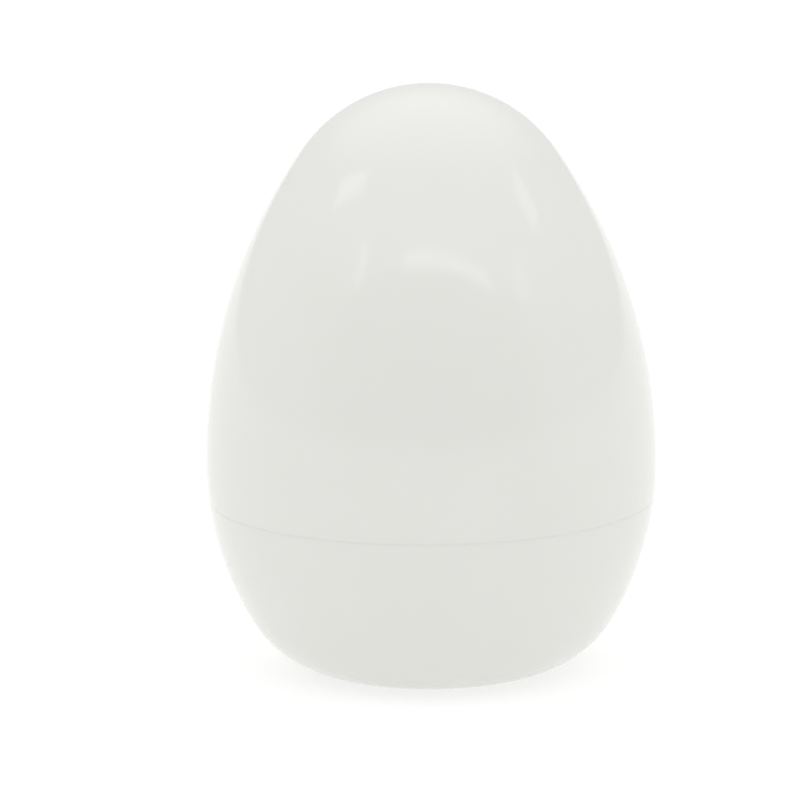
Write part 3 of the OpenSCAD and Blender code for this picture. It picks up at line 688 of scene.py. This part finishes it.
class EGGTIMER_OT_base(bpy.types.Operator):
    """Spin the lower shell with its lip, add the screw bosses, and cut the recesses and sound slots"""

    bl_idname = "eggtimer.base"
    bl_label = "Base Shell"

    def execute(self, context):
        shape = context.scene.egg_shape
        detail = context.scene.egg_base
        made = self.shell(shape, detail)
        turns = [detail.screw_turn + 2 * math.pi * i / detail.screws for i in range(detail.screws)]
        cut(made, self.bosses(shape, detail, turns), "UNION")
        cut(made, self.recesses(detail, turns), "DIFFERENCE")
        cut(made, self.shank_holes(detail, turns), "DIFFERENCE")
        made = tidied(made)
        paint(made, shared_material("moulded_white_abs", moulded_abs, context.scene.egg_finish))
        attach(made, "base")
        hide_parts("base_shell")
        return {"FINISHED"}

    def shell(self, shape, detail):
        """Section from the foot up the outside, over the lip and down the inside"""
        mesh = bmesh.new()
        rim = shape.seam - shape.edge
        lip_outer = radius_at(shape, shape.seam, shape.wall) - detail.lip_room
        lip_inner = lip_outer - detail.lip_wall
        lip_top = BASE_HIGH.z
        lip_low = shape.seam - detail.lip_depth
        vert = point(mesh, 0, 0)
        vert = line_to(mesh, vert, shape.foot / 2, 0)
        vert = line_to(mesh, vert, shape.foot, 0)
        vert = outline_between(mesh, vert, shape, 0.0, 0.0, rim, shape.base_step)
        vert = arc_by(mesh, vert, (vert.co.x - shape.edge, rim), math.pi / 2, shape.edge_steps)
        vert = line_to(mesh, vert, lip_outer, shape.seam)
        vert = line_to(mesh, vert, lip_outer, lip_top - detail.lip_edge)
        vert = line_to(mesh, vert, lip_outer - detail.lip_edge, lip_top)
        vert = line_to(mesh, vert, lip_inner, lip_top)
        vert = line_to(mesh, vert, lip_inner, lip_low)
        vert = line_to(mesh, vert, radius_at(shape, lip_low, shape.wall), lip_low)
        vert = outline_between(mesh, vert, shape, shape.wall, lip_low, shape.wall, 2 * shape.base_step)
        vert = line_to(mesh, vert, shape.foot / 2, shape.wall)
        line_to(mesh, vert, 0, shape.wall)
        revolve(mesh, shape.turns)
        return new_object("base_shell_smooth", mesh)

    def bosses(self, shape, detail, turns):
        """Bosses that carry the movement's lower plate"""
        mesh = bmesh.new()
        for turn in turns:
            post_at(mesh, detail.boss, shape.wall / 2, detail.boss_top, detail.screw_circle, turn)
        return new_object("bosses", mesh)

    def recesses(self, detail, turns):
        """Recesses for the screw heads, and the sound slots on the side of the scale"""
        mesh = bmesh.new()
        for turn in turns:
            post_at(mesh, detail.head_room, -REACH, detail.head_depth, detail.screw_circle, turn)
        low = (detail.slot_inner, -detail.slot_width / 2, -REACH)
        high = (detail.slot_outer, detail.slot_width / 2, detail.slot_reach)
        for i in range(detail.slots):
            turn = math.pi / 2 + detail.slot_spread * (i / (detail.slots - 1) - 0.5)
            box_at(mesh, low, high, turn)
        return new_object("recesses", mesh)

    def shank_holes(self, detail, turns):
        """Holes for the screws' shanks, through the bosses"""
        mesh = bmesh.new()
        for turn in turns:
            post_at(
                mesh, detail.shank_room, detail.head_depth / 2, detail.boss_top + REACH,
                detail.screw_circle, turn)
        return new_object("shank_holes", mesh)


class EGGTIMER_OT_print(bpy.types.Operator):
    """Wrap the printed numbers onto the dial, and ink the minute marks and the pointer"""

    bl_idname = "eggtimer.print"
    bl_label = "Printed Scale"

    def execute(self, context):
        shape = context.scene.egg_shape
        detail = context.scene.egg_print
        ink = shared_material("pad_printed_ink", printed_ink, context.scene.egg_finish)
        for minute in range(0, detail.last + 1, detail.step):
            mesh = self.flat_number(context, detail, minute)
            self.slice_flat(mesh, detail)
            self.thicken(mesh, detail.thickness)
            self.wrap(mesh, shape, detail, detail.pointer_angle + detail.minute_angle * minute)
            made = new_object(f"number_{minute}", mesh)
            paint(made, ink)
            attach(made, "dial")
        for name in ("minute_marks", "pointer_mark"):
            paint(frame["nodes"][name], ink)
        return {"FINISHED"}

    def flat_number(self, context, detail, minute):
        """Flat mesh of a number, centred on its width"""
        text = bpy.data.curves.new("number", "FONT")
        text.body = str(minute)
        text.align_x = "CENTER"
        text.size = detail.size / detail.digit_share
        text.resolution_u = detail.curve_steps
        holder = bpy.data.objects.new("number", text)
        context.scene.collection.objects.link(holder)
        context.view_layer.update()
        flat = bpy.data.meshes.new_from_object(
            holder.evaluated_get(context.evaluated_depsgraph_get()))
        mesh = bmesh.new()
        mesh.from_mesh(flat)
        bpy.data.objects.remove(holder, do_unlink=True)
        bpy.data.curves.remove(text)
        bpy.data.meshes.remove(flat)
        bmesh.ops.remove_doubles(mesh, verts=mesh.verts[:], dist=INK_WELD)
        return mesh

    def slice_flat(self, mesh, detail):
        """Cuts a flat number into small cells, so that it can follow the egg"""
        reach = detail.cells + 2
        for axis in (Vector((1, 0, 0)), Vector((0, 1, 0))):
            for i in range(-reach, reach + 1):
                bmesh.ops.bisect_plane(
                    mesh, geom=mesh.verts[:] + mesh.edges[:] + mesh.faces[:], dist=WELD,
                    plane_co=axis * (detail.size * i / detail.cells), plane_no=axis)

    def thicken(self, mesh, thickness):
        """Raises the ink from its back"""
        raised = bmesh.ops.extrude_face_region(mesh, geom=mesh.faces[:])["geom"]
        front = [item for item in raised if isinstance(item, bmesh.types.BMVert)]
        bmesh.ops.translate(mesh, vec=(0, 0, thickness), verts=front)
        bmesh.ops.recalc_face_normals(mesh, faces=mesh.faces[:])

    def wrap(self, mesh, shape, detail, azimuth):
        """Lays a number on the egg above the minute marks"""
        low = MARKS_TOP + detail.room
        for vert in mesh.verts:
            z = low + vert.co.y
            radius = radius_at(shape, z)
            turn = azimuth + vert.co.x / radius
            away = radius + vert.co.z - detail.sink
            vert.co = (away * math.cos(turn), away * math.sin(turn), z)


class EGGTIMER_OT_movement(bpy.types.Operator):
    """Give every metal piece its finish"""

    bl_idname = "eggtimer.movement"
    bl_label = "Movement Finishes"

    def execute(self, context):
        finish = metals(context.scene.egg_finish)
        for row in frame["record"]["subparts"]:
            if row["material_slot"] in finish:
                paint(frame["nodes"][row["node"]], finish[row["material_slot"]])
        return {"FINISHED"}


class EGGTIMER_OT_stage(bpy.types.Operator):
    """Set up the pale floor, the soft white surroundings, the lights and the camera"""

    bl_idname = "eggtimer.stage"
    bl_label = "Stage"

    def execute(self, context):
        stage = context.scene.egg_stage
        self.floor(stage)
        self.surroundings(context.scene, stage)
        self.softboxes(context.scene, stage)
        self.camera(context.scene, stage)
        return {"FINISHED"}

    def floor(self, stage):
        """Opal sheet, lit partly from behind, so that it stays almost white up to the egg"""
        mesh = bmesh.new()
        bmesh.ops.create_grid(
            mesh, x_segments=2, y_segments=2, size=stage.floor,
            matrix=Matrix.Translation((0, 0, -stage.floor_gap)))
        made = new_object("floor", mesh)
        sheet, tree, shader, place = start_material("opal_acrylic_sheet")
        grain = vary(tree, place, 60 * MM, 0.0, 1.0)
        tree.links.new(
            tint(tree, grain, linear("#ADADAC"), linear("#AFAFAE")), shader.inputs["Base Color"])
        shader.inputs["Roughness"].default_value = 0.95
        shader.inputs["Specular IOR Level"].default_value = 0.1
        shader.inputs["Emission Color"].default_value = (1, 1, 1, 1)
        shader.inputs["Emission Strength"].default_value = stage.floor_glow
        paint(made, sheet)

    def surroundings(self, scene, stage):
        """White light tent with a brighter roof and an arched opening toward the camera"""
        world = bpy.data.worlds.new("light_tent")
        world.use_nodes = True
        scene.world = world
        tree = world.node_tree
        tree.nodes.clear()
        way = node(tree, "ShaderNodeTexCoord").outputs["Generated"]
        part = node(tree, "ShaderNodeSeparateXYZ", None, {0: way}).outputs
        rise = calculate(tree, "ARCSINE", part["Z"])
        across = calculate(tree, "ARCTAN2", part["X"], calculate(tree, "MULTIPLY", part["Y"], -1.0))
        around = calculate(tree, "ABSOLUTE", across)
        low = blend_by(tree, around, REAR_FROM, REAR_TO, stage.wall, stage.rear)
        walls = blend_by(tree, part["Z"], ROOF_FROM, ROOF_TO, low, stage.roof)
        side, top = (
            calculate(tree, "POWER", calculate(
                tree, "ABSOLUTE", calculate(tree, "DIVIDE", angle, size)), ARCH)
            for angle, size in ((across, stage.opening_width), (rise, stage.opening_height)))
        inside = blend_by(tree, calculate(tree, "ADD", side, top), EDGE_FROM, EDGE_TO, 1.0, 0.0)
        light = node(tree, "ShaderNodeMix", {"data_type": "FLOAT"}, {
            "Factor": inside, 2: walls, 3: stage.opening}).outputs[0]
        sky = node(tree, "ShaderNodeBackground", None, {"Color": (1, 1, 1, 1), "Strength": light})
        node(tree, "ShaderNodeOutputWorld", None, {"Surface": sky.outputs[0]})

    def softboxes(self, scene, stage):
        """Softboxes above left and right, a long one over the opening, and one at each of its shoulders"""
        for name, azimuth, elevation, width, height, roll, share in SOFTBOXES:
            data = bpy.data.lights.new(name, "AREA")
            data.shape = "RECTANGLE"
            data.size = 2 * stage.away * math.tan(math.radians(width / 2))
            data.size_y = 2 * stage.away * math.tan(math.radians(height / 2))
            data.energy = math.pi * data.size * data.size_y * stage.glow * share
            made = bpy.data.objects.new(name, data)
            scene.collection.objects.link(made)
            turn, tilt = math.radians(azimuth), math.radians(elevation)
            level = math.cos(tilt)
            way = Vector((math.sin(turn) * level, -math.cos(turn) * level, math.sin(tilt)))
            made.location = Vector((0, 0, stage.light_height)) + way * stage.away
            facing = way.to_track_quat("Z", "Y").to_matrix()
            made.rotation_euler = (facing @ Matrix.Rotation(math.radians(roll), 3, "Z")).to_euler()

    def camera(self, scene, stage):
        """Long lens, a little above level, turned to the front of the egg"""
        data = bpy.data.cameras.new("camera")
        data.sensor_width = 36
        data.lens = stage.lens
        data.clip_start = 0.05
        data.clip_end = 50
        made = bpy.data.objects.new("camera", data)
        scene.collection.objects.link(made)
        tilt = stage.elevation
        forward = Vector((0, math.cos(tilt), -math.sin(tilt)))
        rise = Vector((0, math.sin(tilt), math.cos(tilt)))
        target = Vector((stage.aim[0], 0, stage.middle)) + rise * stage.aim[1]
        made.location = target - forward * stage.distance
        level = Matrix.Rotation(math.pi / 2 - tilt, 4, "X")
        made.rotation_euler = (level @ Matrix.Rotation(stage.roll, 4, "Z")).to_euler()
        scene.camera = made
        scene.view_settings.view_transform = "Standard"


OPERATORS = (
    EGGTIMER_OT_dial,
    EGGTIMER_OT_base,
    EGGTIMER_OT_print,
    EGGTIMER_OT_movement,
    EGGTIMER_OT_stage,
)


class EGGTIMER_PT_panel(bpy.types.Panel):
    """Settings and steps of the egg timer"""

    bl_idname = "EGGTIMER_PT_panel"
    bl_label = "Egg Timer"
    bl_space_type = "VIEW_3D"
    bl_region_type = "UI"
    bl_category = "Egg Timer"

    def draw(self, context):
        column = self.layout.column()
        for group, kind in GROUPS.items():
            column.label(text=kind.__doc__)
            for name in kind.__annotations__:
                column.prop(getattr(context.scene, group), name)
        for operator in OPERATORS:
            column.operator(operator.bl_idname)


def register():
    for kind in (*GROUPS.values(), *OPERATORS, EGGTIMER_PT_panel):
        bpy.utils.register_class(kind)
    for group, kind in GROUPS.items():
        setattr(bpy.types.Scene, group, PointerProperty(type=kind))


def unregister():
    for group in GROUPS:
        delattr(bpy.types.Scene, group)
    for kind in reversed((*GROUPS.values(), *OPERATORS, EGGTIMER_PT_panel)):
        bpy.utils.unregister_class(kind)


def main():
    register()
    bpy.ops.eggtimer.dial()
    bpy.ops.eggtimer.base()
    bpy.ops.eggtimer.print()
    bpy.ops.eggtimer.movement()
    bpy.ops.eggtimer.stage()


if __name__ == "__main__":
    main()
